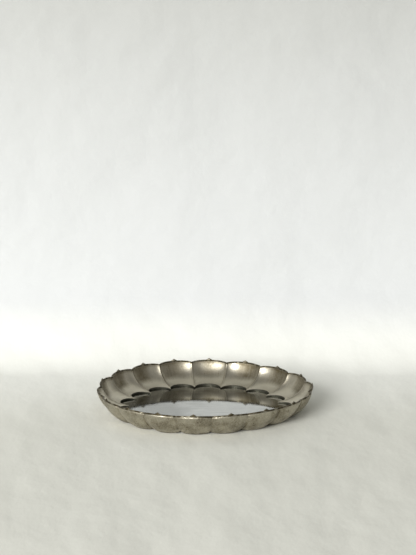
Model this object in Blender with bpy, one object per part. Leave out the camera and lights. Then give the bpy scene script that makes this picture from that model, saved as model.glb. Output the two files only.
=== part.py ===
"""A fluted pewter paten.

A flat polished well plate is set into a cast wall of eighteen concave flutes. The wall carries a
scalloped rim wire, and each lobe of the rim carries one small cast point. Nothing moves.

Frame: metres, +Z up, origin at the middle of the underside, and the dish stands on Z = 0.
Each lobe's own coordinate "across" runs from -1 at one ridge, through 0 at its middle, to 1 at the next.
"""

from math import atan2, cos, pi, radians, sin, sqrt, tau

import bmesh
import bpy

# Driving dimensions
LOBES = 18
FIRST_LOBE_TURN = radians(4.4)       # the first lobe's middle, measured from +Y towards +X
PLATE_THICKNESS = 0.0010
SOLDER_GAP = 0.0003                  # between pieces that are soldered face to face
WIRE_RADIUS = 0.00065

# The wall's two faces, each as foot, bend and rim: radius from the middle and height above the well.
# "Ridge" is the line between two flutes and "lobe" the middle of a flute. The casting is thick at a ridge.
INNER_RIDGE = ((0.0540, 0.0008), (0.0730, 0.0040), (0.0766, 0.0139))
INNER_LOBE = ((0.0654, 0.0015), (0.0773, 0.0043), (0.0795, 0.0150))
OUTER_RIDGE = ((0.0632, 0.0004), (0.0738, 0.0036), (0.0776, 0.0139))
OUTER_LOBE = ((0.0672, -0.0010), (0.0775, 0.0043), (0.0805, 0.0150))

# How a flute swells from its ridges to its middle, as the power of an arch: at its foot, at its rim, and
# the change halfway up. The inner face swells at once, which makes a sharp ridge; the outer face is slacker.
INNER_ARCH = (0.42, 0.60, -0.04)
OUTER_ARCH = (0.50, 0.60, 0.35)

# The wall's inner edge is a thin lip, cut away underneath, that lies over the edge of the well plate
LIP_UNDERCUT = 0.0004
LEDGE_AT_LOBE = 0.0004
LEDGE_AT_RIDGE = 0.0028

# A cast point on the rim
POINT_LENGTH = 0.0042
POINT_DEPTH = 2 * WIRE_RADIUS
POINT_HEIGHT = 0.0011
POINT_TIP_SHARE = 0.12               # width of the blunt tip, as a share of the base
POINT_HOLLOW = 1.5                   # above 1 the point's shoulders are hollow

# The dish was made by hand, so it is a little out of round and its lobes are not quite evenly spaced.
# Each wave is (number of waves in one turn, cosine share, sine share).
RADIUS_WAVES = ((2, -0.005, 0.006), (3, 0.002, -0.013))
TURN_WAVES = ((1, -0.003, 0.011), (2, -0.003, -0.004), (3, -0.020, -0.001))

# Fineness of the meshes
STEPS_ACROSS_LOBE = 10
STEPS_UP_WALL = 9
WIRE_RESOLUTION = 1
POINT_RINGS = 3
POINT_SIDES = 10
SHARP_EDGE = radians(40)             # edges between faces steeper than this to each other stay sharp

# Finishes: colour, roughness, metallic
PEWTER = ("worn_pewter", (0.36, 0.33, 0.27), 0.38, 1.0)
POLISHED = ("polished_pewter", (0.62, 0.61, 0.57), 0.06, 1.0)
RIM_PEWTER = ("rim_pewter", (0.30, 0.27, 0.21), 0.34, 1.0)
CAST_PEWTER = ("cast_pewter", (0.33, 0.30, 0.24), 0.40, 1.0)


def waves(table, turn):
    """Sum of the hand-made waves in a table, at a turn around the dish."""
    return sum(c * cos(n * turn) + s * sin(n * turn) for n, c, s in table)


def on_dish(turn, radius, height):
    """A point of the hand-made dish, before it is centred."""
    true_turn = turn + waves(TURN_WAVES, turn)
    true_radius = radius * (1 + waves(RADIUS_WAVES, turn))
    return (true_radius * sin(true_turn), true_radius * cos(true_turn), height)


def lobe_turn(lobe, across):
    """The even turn of a place in a lobe. Lobe 0 is the first."""
    return FIRST_LOBE_TURN + (lobe + across / 2) * tau / LOBES


def lobe_steps():
    """Places across one lobe, closer together near its ridges, without the second ridge."""
    return [sin(pi * (step / STEPS_ACROSS_LOBE - 0.5)) for step in range(STEPS_ACROSS_LOBE)]


def around():
    """Every (lobe, across) of one walk around the dish."""
    return [(lobe, across) for lobe in range(LOBES) for across in lobe_steps()]


def bezier(foot, bend, rim, up):
    """A point of the quadratic curve from a foot to the rim, pulled towards its bend."""
    down = 1 - up
    return tuple(down * down * f + 2 * down * up * b + up * up * r for f, b, r in zip(foot, bend, rim))


def fullness(across, up, arch):
    """From the ridge's profile (0) to the lobe's (1), at a height from the foot (0) to the rim (1)."""
    at_foot, at_rim, halfway = arch
    return max(0.0, 1 - across * across) ** (at_foot + (at_rim - at_foot) * up + halfway * sin(pi * up))


def between(ridge, lobe, share):
    return tuple(a + share * (b - a) for a, b in zip(ridge, lobe))


def inner_face(across, up):
    """Radius and height above the well of the wall's inner face, from its foot (0) up to the rim (1)."""
    return between(bezier(*INNER_RIDGE, up), bezier(*INNER_LOBE, up), fullness(across, up, INNER_ARCH))


def outer_face(across, up):
    """The same of the wall's outer face."""
    return between(bezier(*OUTER_RIDGE, up), bezier(*OUTER_LOBE, up), fullness(across, up, OUTER_ARCH))


def plate_edge(across):
    """Radius of the well plate, a little larger than the opening in the wall above it."""
    ledge = LEDGE_AT_RIDGE + fullness(across, 0.0, INNER_ARCH) * (LEDGE_AT_LOBE - LEDGE_AT_RIDGE)
    return inner_face(across, 0.0)[0] + ledge


def wall_section(across):
    """The wall's whole section, as radius and height above the well, once round."""
    ups = [step / STEPS_UP_WALL for step in range(STEPS_UP_WALL + 1)]
    inner = [inner_face(across, up) for up in ups]
    outer = [outer_face(across, up) for up in reversed(ups)]
    opening = inner[0][0]
    foot_height = outer[-1][1]
    rebate = plate_edge(across) + SOLDER_GAP
    under = [(rebate, foot_height), (rebate, SOLDER_GAP), (opening + LIP_UNDERCUT, SOLDER_GAP)]
    return inner + outer + under


def rim_centre(across):
    """Radius and height above the well of the rim wire's middle."""
    inner = inner_face(across, 1.0)
    outer = outer_face(across, 1.0)
    return ((inner[0] + outer[0]) / 2, inner[1] + SOLDER_GAP + WIRE_RADIUS)


def find_centre():
    """Middle of the rim's outline, so that the finished dish can be centred on the origin."""
    rim = [on_dish(lobe_turn(lobe, across), *rim_centre(across)) for lobe, across in around()]
    xs = [point[0] for point in rim]
    ys = [point[1] for point in rim]
    return ((min(xs) + max(xs)) / 2, (min(ys) + max(ys)) / 2)


CENTRE = find_centre()


def place(lobe, across, radius, height):
    """World position of a place on the dish, from its height above the well."""
    x, y, z = on_dish(lobe_turn(lobe, across), radius, height)
    return (x - CENTRE[0], y - CENTRE[1], z + PLATE_THICKNESS)


def clear_scene():
    for old in list(bpy.data.objects):
        bpy.data.objects.remove(old, do_unlink=True)


def make_material(finish):
    name, colour, roughness, metallic = finish
    material = bpy.data.materials.new(name)
    material.use_nodes = True
    shader = material.node_tree.nodes["Principled BSDF"]
    shader.inputs["Base Color"].default_value = (*colour, 1)
    shader.inputs["Roughness"].default_value = roughness
    shader.inputs["Metallic"].default_value = metallic
    return material


def add_object(name, data, material, parent):
    data.materials.append(material)
    piece = bpy.data.objects.new(name, data)
    bpy.context.scene.collection.objects.link(piece)
    piece.parent = parent
    return piece


def finish_mesh(name, bm):
    """Turn a bmesh into a mesh with outward faces, shaded smooth but for its sharp edges."""
    bmesh.ops.recalc_face_normals(bm, faces=bm.faces)
    mesh = bpy.data.meshes.new(name)
    bm.to_mesh(mesh)
    bm.free()
    mesh.shade_smooth()
    mesh.set_sharp_from_angle(angle=SHARP_EDGE)
    return mesh


def closed_ring(bm, points):
    """Add a closed loop of vertices and edges."""
    verts = [bm.verts.new(point) for point in points]
    for first, second in zip(verts, verts[1:] + verts[:1]):
        bm.edges.new((first, second))
    return verts


def skin_rings(bm, rings):
    """Join each ring of vertices to the next one."""
    for lower, upper in zip(rings, rings[1:]):
        for index in range(len(lower)):
            after = (index + 1) % len(lower)
            bm.faces.new((lower[index], lower[after], upper[after], upper[index]))


def well_plate(material, parent):
    """The flat plate: the outline of its edge, filled and extruded through its thickness."""
    outline = [place(lobe, across, plate_edge(across), -PLATE_THICKNESS) for lobe, across in around()]
    bm = bmesh.new()
    rim = closed_ring(bm, outline)
    hub = bm.verts.new((0, 0, 0))
    underside = [bm.faces.new((hub, a, b)) for a, b in zip(rim, rim[1:] + rim[:1])]
    raised = bmesh.ops.extrude_face_region(bm, geom=underside)
    lifted = [part for part in raised["geom"] if isinstance(part, bmesh.types.BMVert)]
    bmesh.ops.translate(bm, verts=lifted, vec=(0, 0, PLATE_THICKNESS))
    mesh = finish_mesh("well_plate", bm)
    return add_object("well_plate", mesh, material, parent)


def fluted_wall(material, parent):
    """The wall: its section carried once around the dish."""
    bm = bmesh.new()
    columns = [[place(lobe, across, *spot) for spot in wall_section(across)] for lobe, across in around()]
    rings = [[bm.verts.new(point) for point in ring] for ring in zip(*columns)]
    skin_rings(bm, rings + rings[:1])
    mesh = finish_mesh("fluted_wall", bm)
    return add_object("fluted_wall", mesh, material, parent)


def rim_wire(material, parent):
    """The wire: a round section swept along the scalloped rim."""
    curve = bpy.data.curves.new("rim_wire", "CURVE")
    curve.dimensions = "3D"
    curve.twist_mode = "Z_UP"
    curve.bevel_depth = WIRE_RADIUS
    curve.bevel_resolution = WIRE_RESOLUTION
    path = [place(lobe, across, *rim_centre(across)) for lobe, across in around()]
    spline = curve.splines.new("POLY")
    spline.points.add(len(path) - 1)
    for point, position in zip(spline.points, path):
        point.co = (*position, 1)
    spline.use_cyclic_u = True
    return add_object("rim_wire", curve, material, parent)


def point_mesh():
    """One cast point: a flat oval base that draws in to a blunt tip, with its length along X."""
    bm = bmesh.new()
    rings = []
    for level in range(POINT_RINGS):
        share = level / POINT_RINGS
        width = POINT_TIP_SHARE + (1 - POINT_TIP_SHARE) * (1 - share) ** POINT_HOLLOW
        ring = []
        for side in range(POINT_SIDES):
            turn = side * tau / POINT_SIDES
            x = POINT_LENGTH / 2 * width * cos(turn)
            y = POINT_DEPTH / 2 * sqrt(width) * sin(turn)
            ring.append(bm.verts.new((x, y, POINT_HEIGHT * share)))
        rings.append(ring)
    skin_rings(bm, rings)
    bm.faces.new(rings[0])
    tip = bm.verts.new((0, 0, POINT_HEIGHT))
    last = rings[-1]
    for index, vert in enumerate(last):
        bm.faces.new((vert, last[(index + 1) % POINT_SIDES], tip))
    return finish_mesh("rim_point", bm)


def rim_points(material, parent):
    """A cast point on top of the wire at each lobe's middle, its length along the rim."""
    mesh = point_mesh()
    mesh.materials.append(material)
    for lobe in range(LOBES):
        radius, height = rim_centre(0.0)
        x, y, z = place(lobe, 0.0, radius, height)
        piece = bpy.data.objects.new(f"rim_point_{lobe + 1:02d}", mesh)
        bpy.context.scene.collection.objects.link(piece)
        piece.parent = parent
        piece.location = (x, y, z + WIRE_RADIUS + SOLDER_GAP)
        piece.rotation_euler = (0, 0, atan2(y, x) + pi / 2)


def build():
    clear_scene()
    dish = bpy.data.objects.new("paten", None)
    bpy.context.scene.collection.objects.link(dish)
    well_plate(make_material(POLISHED), dish)
    fluted_wall(make_material(PEWTER), dish)
    rim_wire(make_material(RIM_PEWTER), dish)
    rim_points(make_material(CAST_PEWTER), dish)


build()
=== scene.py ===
"""Looks for the fluted pewter paten: fine meshes and worn metal with painted shade and sheen, around the
fixed CAD frame.
"""
from math import atan2, cos, pi, radians, sin, sqrt, tau

import bmesh
import bpy
from mathutils import Matrix, Vector


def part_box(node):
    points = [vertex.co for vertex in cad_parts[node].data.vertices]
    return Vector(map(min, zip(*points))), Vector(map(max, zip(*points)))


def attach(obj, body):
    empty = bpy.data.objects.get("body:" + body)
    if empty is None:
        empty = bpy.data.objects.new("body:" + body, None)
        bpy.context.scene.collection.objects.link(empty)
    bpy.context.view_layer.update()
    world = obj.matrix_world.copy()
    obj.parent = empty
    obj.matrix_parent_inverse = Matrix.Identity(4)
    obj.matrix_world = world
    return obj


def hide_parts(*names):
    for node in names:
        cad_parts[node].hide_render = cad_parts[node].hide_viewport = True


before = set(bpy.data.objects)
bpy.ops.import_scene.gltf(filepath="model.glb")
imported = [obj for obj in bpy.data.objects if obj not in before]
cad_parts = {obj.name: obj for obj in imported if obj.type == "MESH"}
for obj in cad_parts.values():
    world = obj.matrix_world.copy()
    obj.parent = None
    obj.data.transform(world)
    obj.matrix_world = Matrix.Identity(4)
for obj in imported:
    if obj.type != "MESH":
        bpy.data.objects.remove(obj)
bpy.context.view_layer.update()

WELL_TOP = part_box("well_plate")[1].z

# The dish, in metres, as the CAD model has it
LOBES = 18
FIRST_LOBE_TURN = radians(4.4)
WIRE_RADIUS = 0.00065
SOLDER_GAP = 0.0003
INNER_RIDGE = ((0.0540, 0.0008), (0.0730, 0.0040), (0.0766, 0.0139))
INNER_LOBE = ((0.0654, 0.0015), (0.0773, 0.0043), (0.0795, 0.0150))
OUTER_RIDGE = ((0.0632, 0.0004), (0.0738, 0.0036), (0.0776, 0.0139))
OUTER_LOBE = ((0.0672, -0.0010), (0.0775, 0.0043), (0.0805, 0.0150))
INNER_ARCH = (0.42, 0.60, -0.04)
OUTER_ARCH = (0.50, 0.60, 0.35)
LIP_UNDERCUT = 0.0004
LEDGE_AT_LOBE = 0.0004
LEDGE_AT_RIDGE = 0.0028
POINT_LENGTH = 0.0042
POINT_HEIGHT = 0.0011
POINT_TIP_SHARE = 0.14
POINT_HOLLOW = 1.7
RADIUS_WAVES = ((2, -0.005, 0.006), (3, 0.002, -0.013))
TURN_WAVES = ((1, -0.003, 0.011), (2, -0.003, -0.004), (3, -0.020, -0.001))

# Fineness and softness of the finished surface
STEPS_ACROSS_LOBE = 26
STEPS_UP_WALL = 34
RIDGE_SOFTNESS = 0.03
LIP_ROUNDING = 0.0001
WIRE_SIDES = 12
POINT_RINGS = 8
POINT_SIDES = 20

# Edges between faces that meet at more than this stay sharp
SHARP_EDGE = radians(50)
SHARP_PLATE_EDGE = radians(30)
SHARP_POINT_EDGE = radians(70)

# Where painted shade and painted sheen lie across a flute, from its middle (0) to its ridge (1). At the
# dish's sides the painted shade is stronger on the rear half of each flute and on the rear flank of each
# ridge.
CREST_WIDTH = 0.015
FLANK_MIDDLE = 0.955
FLANK_WIDTH = 0.07
BOWL_WIDTH = 0.8
BOWL_SHIFT = 0.35

# Where painted shade and painted sheen lie up the wall, from its foot (0) to its rim (1)
LIP_TOP = 0.10
FOOT_TOP = 0.12
FLANK_FADE = 0.25
FLANGE_FADE_START = 0.25
FLANGE_FADE = 0.25
BOWL_START = 0.25
BOWL_FADE = 0.30
UNDER_RIM_START = 0.93

# How strong the painted shade, painted sheen and patina are
# Cap on the wall's painted shade and patina.
MOST_WALL_SHADE = 0.84
# Painted shade along each ridge's flank: its share on the front half of each flute.
FLANK_IN_FRONT = 0.35
# Painted shade in the outer valleys between the lobes.
FLANK_OUTSIDE = 0.35
# Painted contact shade at the foot of the outer wall.
FOOT_CONTACT_SHADE = 0.6
# Painted shade under the rim wire.
UNDER_RIM_SHADE = 0.4
# Darker bowls: some patina, plus painted shade that grows towards the dish's sides.
BOWL_AT_BACK = 0.36
BOWL_AT_SIDES = 0.92
# Lightening: crests partly worn bright and partly painted highlight; lip painted highlight; flange painted
# reflection.
CREST_RUB_AND_HIGHLIGHT = 0.8
LIP_HIGHLIGHT = 0.8
FLANGE_REFLECTION = 0.45

# Colours of the metal
CLEAN_PEWTER = (0.50, 0.467, 0.380)
# Brown tarnished pewter; also the colour of the painted shade on the wall.
BROWN_TARNISH_AND_SHADE = (0.118, 0.097, 0.055)
# Painted shade under the lip, with some grime.
UNDERCUT_SHADE_AND_GRIME = (0.150, 0.145, 0.115)
CLEAN_RIM = (0.25, 0.228, 0.172)
RIM_GRIME = (0.070, 0.058, 0.034)
POLISHED_PEWTER = (0.45, 0.455, 0.435)
# Colour of the darker left side of the well.
LEFT_SIDE_PEWTER = (0.255, 0.26, 0.245)
WIPED_PEWTER = (0.20, 0.20, 0.18)

# Colours of the surroundings
# One paper; its colours carry painted light falloff, darker in front, above the bend and at the top.
PAPER_SHADED_IN_FRONT = (0.690, 0.690, 0.625)
PAPER_BEHIND = (0.780, 0.782, 0.730)
PAPER_SHADED_ABOVE_BEND = (0.575, 0.585, 0.582)
PAPER_SHADED_AT_TOP = (0.325, 0.325, 0.300)
ROOM_AT_HORIZON = (0.54, 0.54, 0.525)
ROOM_OVERHEAD = (0.27, 0.27, 0.262)
WINDOW_COLOUR = (1.0, 1.0, 1.0)

# Camera: a long lens, a little above the rim
LENS = 194.6
SENSOR_WIDTH = 36
CAMERA_DISTANCE = 2.249
CAMERA_ELEVATION = radians(15.79)
CAMERA_PITCH_UP = radians(2.4965)
CAMERA_YAW_RIGHT = radians(0.0821)

# The paper sweep behind the dish
SWEEP_HALF_WIDTH = 0.45
SWEEP_FRONT = -1.2
BEND_START = 0.095
BEND_RADIUS = 0.07
BEND_STEPS = 16
SWEEP_HEIGHT = 0.62
TABLE_SIZE = 12
TABLE_DROP = 0.002

# The window, seen from the dish
WINDOW_DISTANCE = 3.0
WINDOW_LEFT = radians(27)
WINDOW_UP = radians(20)
WINDOW_SIZE = (1.5, 1.2)
WINDOW_POWER = 116


def waves(table, turn):
    """Sum of the hand-made waves in a table, at a turn around the dish."""
    return sum(c * cos(n * turn) + s * sin(n * turn) for n, c, s in table)


def on_dish(turn, radius, height):
    """A point of the hand-made dish, before it is centred."""
    true_turn = turn + waves(TURN_WAVES, turn)
    true_radius = radius * (1 + waves(RADIUS_WAVES, turn))
    return (true_radius * sin(true_turn), true_radius * cos(true_turn), height)


def lobe_turn(lobe, across):
    """The even turn of a place in a lobe, -1 and 1 being the ridges beside it."""
    return FIRST_LOBE_TURN + (lobe + across / 2) * tau / LOBES


def lobe_steps():
    """Places across one lobe, closer together near its ridges, without the second ridge."""
    return [sin(pi * (step / STEPS_ACROSS_LOBE - 0.5)) for step in range(STEPS_ACROSS_LOBE)]


def around():
    """Every (lobe, across) of one walk around the dish."""
    return [(lobe, across) for lobe in range(LOBES) for across in lobe_steps()]


def bezier(foot, bend, rim, up):
    """A point of the quadratic curve from a foot to the rim, pulled towards its bend."""
    down = 1 - up
    return tuple(down * down * f + 2 * down * up * b + up * up * r for f, b, r in zip(foot, bend, rim))


def fullness(across, up=0.0, arch=INNER_ARCH):
    """From the ridge's profile (0) to the lobe's (1), with the ridge's edge a little rounded."""
    sharp = max(0.0, 1 - across * across)
    soft = sqrt((sharp * sharp + RIDGE_SOFTNESS ** 2) / (1 + RIDGE_SOFTNESS ** 2))
    at_foot, at_rim, halfway = arch
    return soft ** (at_foot + (at_rim - at_foot) * up + halfway * sin(pi * up))


def between(ridge, lobe, share):
    return tuple(a + share * (b - a) for a, b in zip(ridge, lobe))


def inner_face(across, up):
    """Radius and height above the well of the wall's inner face, from its foot (0) up to the rim (1)."""
    return between(bezier(*INNER_RIDGE, up), bezier(*INNER_LOBE, up), fullness(across, up))


def outer_face(across, up):
    """The same of the wall's outer face."""
    share = fullness(across, up, OUTER_ARCH)
    return between(bezier(*OUTER_RIDGE, up), bezier(*OUTER_LOBE, up), share)


def plate_edge(across):
    """Radius of the well plate, a little larger than the opening in the wall above it."""
    opening = inner_face(across, 0.0)[0]
    return opening + LEDGE_AT_RIDGE + fullness(across) * (LEDGE_AT_LOBE - LEDGE_AT_RIDGE)


def wall_section(across):
    """The wall's whole section, as radius and height above the well, once round."""
    ups = [step / STEPS_UP_WALL for step in range(STEPS_UP_WALL + 1)]
    inner = [inner_face(across, up) for up in ups]
    outer = [outer_face(across, up) for up in reversed(ups)]
    opening = inner[0][0]
    foot_height = outer[-1][1]
    rebate = plate_edge(across) + SOLDER_GAP
    under = [(rebate, foot_height), (rebate, SOLDER_GAP), (opening + LIP_UNDERCUT, SOLDER_GAP)]
    return inner + outer + under


def rim_centre(across):
    """Radius and height above the well of the rim wire's middle."""
    inner = inner_face(across, 1.0)
    outer = outer_face(across, 1.0)
    return ((inner[0] + outer[0]) / 2, inner[1] + SOLDER_GAP + WIRE_RADIUS)


def find_centre():
    """Middle of the rim's outline, so that the dish is centred on the origin."""
    rim = [on_dish(lobe_turn(lobe, across), *rim_centre(across)) for lobe, across in around()]
    xs = [point[0] for point in rim]
    ys = [point[1] for point in rim]
    return ((min(xs) + max(xs)) / 2, (min(ys) + max(ys)) / 2)


CENTRE = find_centre()


def place(lobe, across, radius, height):
    """World position of a place on the dish, from its height above the well."""
    x, y, z = on_dish(lobe_turn(lobe, across), radius, height)
    return (x - CENTRE[0], y - CENTRE[1], z + WELL_TOP)


def new_piece(name, mesh, material, node):
    """A finished piece that stands for one CAD node."""
    mesh.materials.append(material)
    piece = bpy.data.objects.new(name, mesh)
    bpy.context.scene.collection.objects.link(piece)
    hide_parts(node)
    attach(piece, "root")
    return piece


def finish_mesh(name, bm, sharp_angle=SHARP_EDGE):
    """Turn a bmesh into a mesh with outward faces, shaded smooth but for its sharp edges."""
    bmesh.ops.recalc_face_normals(bm, faces=bm.faces)
    mesh = bpy.data.meshes.new(name)
    bm.to_mesh(mesh)
    bm.free()
    mesh.shade_smooth()
    mesh.set_sharp_from_angle(angle=sharp_angle)
    return mesh


def skin_rings(bm, rings):
    """Join each ring of vertices to the next one."""
    for lower, upper in zip(rings, rings[1:]):
        for index in range(len(lower)):
            after = (index + 1) % len(lower)
            bm.faces.new((lower[index], lower[after], upper[after], upper[index]))


class Shader:
    """A Principled material and short ways to add nodes to it."""

    def __init__(self, name, metallic=1.0):
        self.material = bpy.data.materials.new(name)
        self.material.use_nodes = True
        self.nodes = self.material.node_tree.nodes
        self.links = self.material.node_tree.links
        self.surface = self.nodes["Principled BSDF"]
        self.surface.inputs["Metallic"].default_value = metallic
        self.place = self.nodes.new("ShaderNodeTexCoord").outputs["Object"]

    def put(self, socket, value):
        """Link a node's output to a socket, or set the socket to a number or colour."""
        if hasattr(value, "is_output"):
            self.links.new(value, socket)
        else:
            socket.default_value = value

    def math(self, operation, first, second=0.0, clamp=False):
        node = self.nodes.new("ShaderNodeMath")
        node.operation = operation
        node.use_clamp = clamp
        self.put(node.inputs[0], first)
        self.put(node.inputs[1], second)
        return node.outputs[0]

    def weigh(self, *shares):
        """The sum of values that are each times their own weight."""
        total = 0.0
        for value, weight in shares:
            total = self.math("ADD", total, self.math("MULTIPLY", value, weight))
        return total

    def stretch(self, scales):
        """Object coordinates multiplied along each axis."""
        node = self.nodes.new("ShaderNodeVectorMath")
        node.operation = "MULTIPLY"
        self.put(node.inputs[0], self.place)
        node.inputs[1].default_value = scales
        return node.outputs[0]

    def down_the_wall(self, radius, squeeze):
        """Coordinates that change around the dish but hardly from top to bottom."""
        flat = self.nodes.new("ShaderNodeVectorMath")
        flat.operation = "NORMALIZE"
        self.put(flat.inputs[0], self.stretch((1, 1, 0)))
        ring = self.nodes.new("ShaderNodeVectorMath")
        ring.operation = "SCALE"
        self.put(ring.inputs[0], flat.outputs[0])
        ring.inputs["Scale"].default_value = radius
        total = self.nodes.new("ShaderNodeVectorMath")
        total.operation = "ADD"
        self.put(total.inputs[0], ring.outputs[0])
        self.put(total.inputs[1], self.stretch((0, 0, squeeze)))
        return total.outputs[0]

    def noise(self, scale, detail, where=None, low=0.0, high=1.0):
        """Noise from 0 to 1, where it runs from low to high."""
        node = self.nodes.new("ShaderNodeTexNoise")
        self.put(node.inputs["Vector"], where or self.place)
        node.inputs["Scale"].default_value = scale
        node.inputs["Detail"].default_value = detail
        return self.ramp(node.outputs["Fac"], low, high)

    def pits(self, scale, size):
        """1 in small round pits that are scattered at random, 0 elsewhere."""
        node = self.nodes.new("ShaderNodeTexVoronoi")
        self.put(node.inputs["Vector"], self.place)
        node.inputs["Scale"].default_value = scale
        return self.ramp(node.outputs["Distance"], 0.0, size, 1.0, 0.0)

    def ramp(self, value, low, high, floor=0.0, top=1.0):
        """A smooth step from floor to top, while the value runs from low to high."""
        node = self.nodes.new("ShaderNodeMapRange")
        node.interpolation_type = "SMOOTHSTEP"
        self.put(node.inputs["Value"], value)
        node.inputs["From Min"].default_value = low
        node.inputs["From Max"].default_value = high
        node.inputs["To Min"].default_value = floor
        node.inputs["To Max"].default_value = top
        return node.outputs[0]

    def mark(self, name):
        """A mark stored on the mesh: painted shade, painted sheen, or which faces are outside."""
        node = self.nodes.new("ShaderNodeAttribute")
        node.attribute_name = name
        return node.outputs["Fac"]

    def blend(self, share, first, second):
        """A colour from the first (0) to the second (1)."""
        node = self.nodes.new("ShaderNodeMix")
        node.data_type = "RGBA"
        self.put(node.inputs["Factor"], share)
        self.put(node.inputs["A"], (*first, 1) if isinstance(first, tuple) else first)
        self.put(node.inputs["B"], (*second, 1) if isinstance(second, tuple) else second)
        return node.outputs["Result"]

    def bump(self, height, depth):
        """Raise the surface by a height of 0 to 1, with a depth in metres."""
        node = self.nodes.new("ShaderNodeBump")
        node.inputs["Strength"].default_value = 1.0
        node.inputs["Distance"].default_value = depth
        self.put(node.inputs["Height"], height)
        self.put(self.surface.inputs["Normal"], node.outputs["Normal"])

    def finish(self, colour, roughness):
        self.put(self.surface.inputs["Base Color"], colour)
        self.put(self.surface.inputs["Roughness"], roughness)
        return self.material


def wall_metal():
    """Satin pewter: lighter on crests, lip and flange, partly worn bright and partly painted highlight and
    reflection; brown in its grooves and bowls, partly tarnished and partly painted shade; mottled and pitted
    outside.
    """
    shader = Shader("worn_pewter")
    outside = shader.ramp(shader.mark("outside"), 0.0, 1.0, 0.35, 1.0)
    mottle = shader.math("MULTIPLY", shader.noise(85, 7.0, low=0.40, high=0.64), outside)
    streaks = shader.noise(520, 4.0, where=shader.down_the_wall(0.08, 0.22), low=0.3, high=0.7)
    grain = shader.math("MULTIPLY", shader.noise(900, 6.0, low=0.36, high=0.64), outside)
    pits = shader.math("MULTIPLY", shader.pits(480, 0.26), shader.noise(170, 2.0, low=0.47, high=0.57))
    pits = shader.math("MULTIPLY", pits, outside)
    # This mark is painted shade in the bowls, along the ridges' flanks, under the rim, at the outer foot and
    # in the undercut, with some patina.
    painted_shade_and_patina = shader.mark("painted_shade_and_patina")
    # This mark is painted highlight and reflection on crests, lip and flange, with some worn brightness on
    # the crests.
    rubbed_and_painted_sheen = shader.mark("rubbed_and_painted_sheen")
    # Real mottling, streaks, grain and pits, plus painted shade, minus painted sheen.
    tarnish_and_shade = shader.weigh(
        (mottle, 0.40), (streaks, 0.12), (grain, 0.24), (painted_shade_and_patina, 0.80), (pits, 0.90), (rubbed_and_painted_sheen, -0.60))
    tarnish_and_shade = shader.math("MULTIPLY", tarnish_and_shade, 1.0, clamp=True)
    colour = shader.blend(tarnish_and_shade, CLEAN_PEWTER, BROWN_TARNISH_AND_SHADE)
    # Painted shade: the undercut under the lip and the rebate get a flat dark grey.
    colour = shader.blend(shader.ramp(painted_shade_and_patina, 0.86, 0.98), colour, UNDERCUT_SHADE_AND_GRIME)
    satin = shader.ramp(tarnish_and_shade, 0.1, 0.9, 0.38, 0.54)
    roughness = shader.weigh((satin, 1.0), (grain, 0.08))
    shader.bump(shader.weigh((grain, 0.35), (pits, -1.0), (mottle, 0.80)), 0.00020)
    return shader.finish(colour, roughness)


def rim_metal(name):
    """The same pewter on thin raised work: dark with grime, worn bright in places."""
    shader = Shader(name)
    grime = shader.noise(300, 5.0, low=0.34, high=0.56)
    grain = shader.noise(2600, 3.0, low=0.3, high=0.7)
    colour = shader.blend(grime, CLEAN_RIM, RIM_GRIME)
    satin = shader.ramp(grime, 0.0, 1.0, 0.42, 0.58)
    roughness = shader.weigh((satin, 1.0), (grain, 0.08))
    shader.bump(shader.weigh((grime, 1.0), (grain, 0.2)), 0.00012)
    return shader.finish(colour, roughness)


def well_metal():
    """Mirror-polished pewter with fine wiping scratches, darker towards its left side."""
    shader = Shader("polished_pewter")
    wiped = shader.noise(1.0, 3.0, where=shader.stretch((30, 330, 1)), low=0.3, high=0.7)
    cloud = shader.noise(28, 4.0, low=0.35, high=0.65)
    sideways = shader.nodes.new("ShaderNodeSeparateXYZ")
    shader.put(sideways.inputs[0], shader.place)
    drift = shader.weigh((sideways.outputs["X"], 1.0), (cloud, 0.018))
    # Darker colour towards the left side (lower X), with a cloudy border.
    darker_left = shader.ramp(drift, -0.018, 0.010, 1.0, 0.0)
    colour = shader.blend(darker_left, POLISHED_PEWTER, LEFT_SIDE_PEWTER)
    colour = shader.blend(shader.math("MULTIPLY", wiped, 0.34), colour, WIPED_PEWTER)
    gloss = shader.ramp(wiped, 0, 1, 0.035, 0.075)
    shader.bump(shader.weigh((wiped, 1.0), (cloud, 3.0)), 0.0000012)
    roughness = shader.weigh((gloss, 1.0), (darker_left, 0.02))
    return shader.finish(colour, roughness)


def store_shade_and_wear(mesh, shade_and_wear):
    """Store the marks of painted shade, painted sheen and outside faces on a mesh, one value to a vertex."""
    for name, values in zip(("painted_shade_and_patina", "rubbed_and_painted_sheen", "outside"), zip(*shade_and_wear)):
        layer = mesh.attributes.new(name, "FLOAT", "POINT")
        layer.data.foreach_set("value", values)


def rising(value, start, width):
    """0 up to a start, then rising to 1 over a width."""
    return min(1.0, max(0.0, (value - start) / width))


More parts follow.
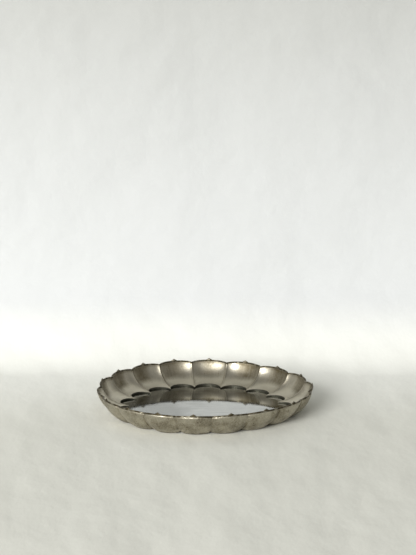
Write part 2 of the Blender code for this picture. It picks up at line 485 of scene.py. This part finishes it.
def wall_shade_and_wear(lobe, across, index):
    """Painted shade (with some patina), painted sheen and outside marks for one place of the wall's section.
    """
    faces = STEPS_UP_WALL + 1
    near_ridge = abs(across)
    sideways = max(-1.0, min(1.0, 2 * sin(lobe_turn(lobe, across))))
    # Painted shade follows the view: at the dish's sides it leans to the rear half of each flute and the rear
    # flank of each ridge.
    rear = max(0.0, across * sideways)
    flank = 1 - rising(abs(near_ridge - FLANK_MIDDLE), 0.0, FLANK_WIDTH)
    flank *= FLANK_IN_FRONT + (1 - FLANK_IN_FRONT) * rear
    # Crest: partly worn bright, partly painted highlight.
    crest = 1 - rising(1 - near_ridge, 0.0, CREST_WIDTH)
    if index < faces:
        up = index / STEPS_UP_WALL
        # Painted shade under the rim wire.
        below_rim = rising(up, UNDER_RIM_START, 1 - UNDER_RIM_START)
        # Painted highlight along the lip; painted reflection lightening the flange.
        lip = 1 - rising(up, 0.0, LIP_TOP)
        flange = 1 - rising(up, FLANGE_FADE_START, FLANGE_FADE)
        # Darker bowls: some patina, plus painted shade that grows towards the dish's sides.
        bowl = max(0.0, 1 - ((across - BOWL_SHIFT * sideways) / BOWL_WIDTH) ** 2)
        bowl *= BOWL_AT_BACK + (BOWL_AT_SIDES - BOWL_AT_BACK) * abs(sideways)
        bowl *= rising(up, BOWL_START, BOWL_FADE)
        painted_shade_and_patina = min(MOST_WALL_SHADE, flank * rising(up, 0.0, FLANK_FADE) + bowl + UNDER_RIM_SHADE * below_rim)
        return (painted_shade_and_patina, max(CREST_RUB_AND_HIGHLIGHT * crest, LIP_HIGHLIGHT * lip, FLANGE_REFLECTION * flange), 0.0)
    if index < 2 * faces + 1:
        up = (2 * faces - index) / STEPS_UP_WALL
        # Painted contact shade at the foot, and painted shade in the outer valleys.
        foot = 1 - rising(up, 0.0, FOOT_TOP)
        return (FLANK_OUTSIDE * flank + FOOT_CONTACT_SHADE * foot, 0.0, 1.0)
    # Undercut and rebate: full painted shade.
    return (1.0, 0.0, 0.0)


def wall_piece(material):
    """The wall, closed up to the middle of the rim wire so that no gap shows under the wire."""
    bm = bmesh.new()
    columns = []
    shade_and_wear = []
    walk = around()
    for lobe, across in walk:
        section = wall_section(across)
        section.insert(STEPS_UP_WALL + 1, rim_centre(across))
        section.append((section[0][0] + LIP_ROUNDING / 2, section[0][1] - LIP_ROUNDING))
        columns.append([place(lobe, across, *spot) for spot in section])
    for index, ring in enumerate(zip(*columns)):
        for (lobe, across), point in zip(walk, ring):
            bm.verts.new(point)
            shade_and_wear.append(wall_shade_and_wear(lobe, across, index))
    bm.verts.ensure_lookup_table()
    count = len(walk)
    rings = [bm.verts[start:start + count] for start in range(0, len(bm.verts), count)]
    skin_rings(bm, rings + rings[:1])
    mesh = finish_mesh("wall_of_flutes", bm)
    store_shade_and_wear(mesh, shade_and_wear)
    return new_piece("wall_of_flutes", mesh, material, "fluted_wall")


def wire_piece(material):
    bm = bmesh.new()
    rings = []
    for side in range(WIRE_SIDES):
        turn = side * tau / WIRE_SIDES
        ring = []
        for lobe, across in around():
            radius, height = rim_centre(across)
            out, up = WIRE_RADIUS * cos(turn), WIRE_RADIUS * sin(turn)
            ring.append(bm.verts.new(place(lobe, across, radius + out, height + up)))
        rings.append(ring)
    skin_rings(bm, rings + rings[:1])
    mesh = finish_mesh("scalloped_wire", bm)
    return new_piece("scalloped_wire", mesh, material, "rim_wire")


def well_piece(material):
    outline = [(lobe, across, plate_edge(across)) for lobe, across in around()]
    bm = bmesh.new()
    lower = [bm.verts.new(place(l, a, r, -WELL_TOP)) for l, a, r in outline]
    upper = [bm.verts.new(place(l, a, r, 0)) for l, a, r in outline]
    skin_rings(bm, [lower, upper])
    for ring, height in ((lower, 0), (upper, WELL_TOP)):
        hub = bm.verts.new((0, 0, height))
        for first, second in zip(ring, ring[1:] + ring[:1]):
            bm.faces.new((hub, first, second))
    mesh = finish_mesh("polished_well", bm, SHARP_PLATE_EDGE)
    return new_piece("polished_well", mesh, material, "well_plate")


def point_mesh():
    """One cast point with hollow shoulders and a blunt tip, its length along X, standing on the wire."""
    bm = bmesh.new()
    rings = []
    for level in range(POINT_RINGS):
        share = level / POINT_RINGS
        width = (1 - share) ** POINT_HOLLOW * (1 - POINT_TIP_SHARE) + POINT_TIP_SHARE * sqrt(1 - share ** 3)
        ring = []
        for side in range(POINT_SIDES):
            turn = side * tau / POINT_SIDES
            x = POINT_LENGTH / 2 * width * cos(turn)
            y = WIRE_RADIUS * sqrt(width) * sin(turn)
            ring.append(bm.verts.new((x, y, POINT_HEIGHT * share)))
        rings.append(ring)
    root = [bm.verts.new(vert.co - Vector((0, 0, SOLDER_GAP + WIRE_RADIUS / 2))) for vert in rings[0]]
    rings.insert(0, root)
    skin_rings(bm, rings)
    bm.faces.new(root)
    tip = bm.verts.new((0, 0, POINT_HEIGHT))
    last = rings[-1]
    for index, vert in enumerate(last):
        bm.faces.new((vert, last[(index + 1) % POINT_SIDES], tip))
    return finish_mesh("cast_point", bm, SHARP_POINT_EDGE)


def point_pieces(material):
    """A cast point at the middle of each lobe's rim. Each has its own copy of the mesh."""
    for lobe in range(LOBES):
        x, y, z = place(lobe, 0.0, *rim_centre(0.0))
        number = f"{lobe + 1:02d}"
        mesh = point_mesh()
        piece = new_piece("cast_point_" + number, mesh, material, "rim_point_" + number)
        piece.matrix_world = Matrix.Translation((x, y, z + WIRE_RADIUS + SOLDER_GAP)) @ Matrix.Rotation(
            atan2(y, x) + pi / 2, 4, "Z")


def build_dish():
    wall_piece(wall_metal())
    wire_piece(rim_metal("rim_pewter"))
    well_piece(well_metal())
    point_pieces(rim_metal("cast_pewter"))


def make_camera():
    data = bpy.data.cameras.new("camera")
    data.lens = LENS
    data.sensor_width = SENSOR_WIDTH
    camera = bpy.data.objects.new("camera", data)
    bpy.context.scene.collection.objects.link(camera)
    target = Vector((-CENTRE[0], -CENTRE[1], WELL_TOP))
    back, above = cos(CAMERA_ELEVATION), sin(CAMERA_ELEVATION)
    camera.location = target + CAMERA_DISTANCE * Vector((0, -back, above))
    camera.rotation_euler = (pi / 2 - CAMERA_ELEVATION + CAMERA_PITCH_UP, 0, -CAMERA_YAW_RIGHT)
    bpy.context.scene.camera = camera


def paper():
    """Warm white paper, creased a little. Painted light falloff: darker in front than behind, and fading
    upwards. It can be seen through from behind.
    """
    shader = Shader("paper", metallic=0.0)
    height = shader.nodes.new("ShaderNodeSeparateXYZ")
    shader.put(height.inputs[0], shader.place)
    up = height.outputs["Z"]
    # Painted light falloff: darker in front, above the bend, and towards the top.
    flat = shader.blend(shader.ramp(height.outputs["Y"], -0.05, 0.11), PAPER_SHADED_IN_FRONT, PAPER_BEHIND)
    shaded_above_bend = shader.blend(shader.ramp(up, 0.004, 0.05), flat, PAPER_SHADED_ABOVE_BEND)
    colour = shader.blend(shader.ramp(up, 0.03, 0.46), shaded_above_bend, PAPER_SHADED_AT_TOP)
    waves_in_paper = shader.noise(9, 3.0, where=shader.stretch((1.0, 0.35, 1.0)))
    creases = shader.noise(55, 3.0, where=shader.stretch((1.0, 0.5, 1.0)))
    shader.bump(shader.weigh((waves_in_paper, 1.0), (creases, 0.10)), 0.006)
    shader.finish(colour, 0.9)
    see_through = shader.nodes.new("ShaderNodeBsdfTransparent")
    geometry = shader.nodes.new("ShaderNodeNewGeometry")
    mix = shader.nodes.new("ShaderNodeMixShader")
    shader.put(mix.inputs["Fac"], geometry.outputs["Backfacing"])
    shader.put(mix.inputs[1], shader.surface.outputs["BSDF"])
    shader.put(mix.inputs[2], see_through.outputs["BSDF"])
    shader.put(shader.nodes["Material Output"].inputs["Surface"], mix.outputs["Shader"])
    return shader.material


def make_stage():
    """A sheet of paper that runs flat under the dish and sweeps up behind it."""
    profile = [(SWEEP_FRONT, 0.0), (BEND_START, 0.0)]
    for step in range(1, BEND_STEPS + 1):
        turn = step / BEND_STEPS * pi / 2
        profile.append((BEND_START + BEND_RADIUS * sin(turn), BEND_RADIUS * (1 - cos(turn))))
    profile.append((BEND_START + BEND_RADIUS, SWEEP_HEIGHT))
    bm = bmesh.new()
    left = [bm.verts.new((-SWEEP_HALF_WIDTH, y, z)) for y, z in profile]
    right = [bm.verts.new((SWEEP_HALF_WIDTH, y, z)) for y, z in profile]
    for index in range(len(profile) - 1):
        bm.faces.new((left[index], right[index], right[index + 1], left[index + 1]))
    mesh = bpy.data.meshes.new("paper_sweep")
    bm.to_mesh(mesh)
    bm.free()
    mesh.shade_smooth()
    material = paper()
    mesh.materials.append(material)
    sweep = bpy.data.objects.new("paper_sweep", mesh)
    bpy.context.scene.collection.objects.link(sweep)
    bpy.ops.mesh.primitive_plane_add(size=TABLE_SIZE, location=(0, 0, -TABLE_DROP))
    table = bpy.context.object
    table.name = "table"
    table.data.materials.append(material)


def area_light(name, place_at, aim, size, power, colour):
    data = bpy.data.lights.new(name, "AREA")
    data.shape = "RECTANGLE"
    data.size, data.size_y = size
    data.energy = power
    data.color = colour
    light = bpy.data.objects.new(name, data)
    bpy.context.scene.collection.objects.link(light)
    light.location = place_at
    light.rotation_euler = (Vector(aim) - Vector(place_at)).to_track_quat("-Z", "Y").to_euler()


def make_room(scene):
    """A dim room: lighter at eye level, dark overhead."""
    world = bpy.data.worlds.new("room")
    scene.world = world
    world.use_nodes = True
    nodes, links = world.node_tree.nodes, world.node_tree.links
    direction = nodes.new("ShaderNodeTexCoord").outputs["Generated"]
    height = nodes.new("ShaderNodeSeparateXYZ")
    links.new(direction, height.inputs[0])
    ramp = nodes.new("ShaderNodeMapRange")
    links.new(height.outputs["Z"], ramp.inputs["Value"])
    ramp.inputs["From Max"].default_value = 0.75
    mix = nodes.new("ShaderNodeMix")
    mix.data_type = "RGBA"
    links.new(ramp.outputs[0], mix.inputs["Factor"])
    mix.inputs["A"].default_value = (*ROOM_AT_HORIZON, 1)
    mix.inputs["B"].default_value = (*ROOM_OVERHEAD, 1)
    links.new(mix.outputs["Result"], nodes["Background"].inputs["Color"])


def make_lights():
    scene = bpy.context.scene
    scene.view_settings.view_transform = "Standard"
    make_room(scene)
    across = WINDOW_DISTANCE * cos(WINDOW_UP)
    window = (-across * sin(WINDOW_LEFT), -across * cos(WINDOW_LEFT), WINDOW_DISTANCE * sin(WINDOW_UP))
    area_light("window", window, (0, 0, 0.03), WINDOW_SIZE, WINDOW_POWER, WINDOW_COLOUR)


make_camera()
make_stage()
make_lights()
build_dish()
